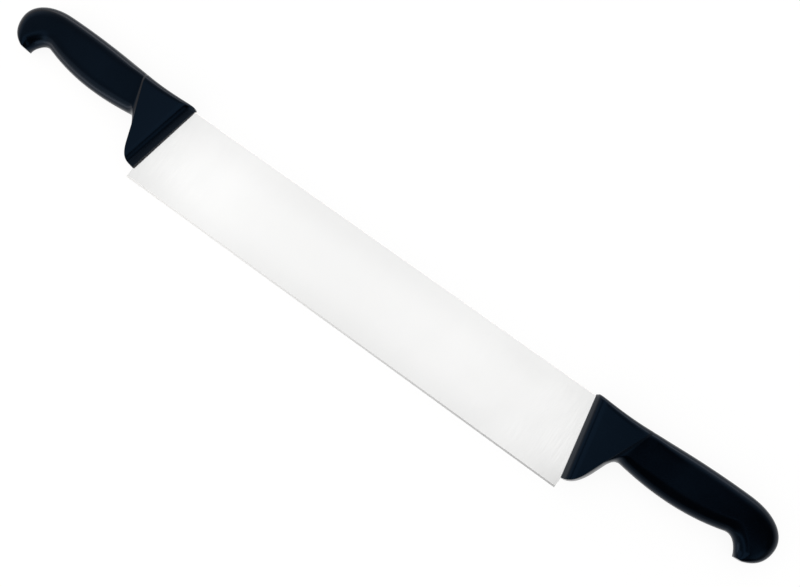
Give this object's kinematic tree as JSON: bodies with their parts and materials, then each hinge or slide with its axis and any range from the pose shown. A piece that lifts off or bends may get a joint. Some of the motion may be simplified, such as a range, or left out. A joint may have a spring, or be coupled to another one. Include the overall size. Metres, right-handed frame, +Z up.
{
  "type": "double-handled cheese knife",
  "caption": "Double-handled cheese knife: long rectangular flat-ground blade with a moulded, hooked grip at each end, pressed down with both hands through large cheeses.",
  "frame": {"origin": "middle of the knife's box, on the surface it lies on", "axes": "+X along the blade towards the right handle, +Y from cutting edge to spine, +Z up out of the surface it lies on"},
  "size_m": [0.628, 0.0694, 0.021],
  "materials": {
    "blade_steel": "satin ground from spine to edge",
    "handle_plastic": "fine spark-eroded mould texture, semi-matt"
  },
  "bodies": {
    "root": {"blade": "blade_steel", "left_handle": "handle_plastic", "right_handle": "handle_plastic"}
  },
  "joints": []
}
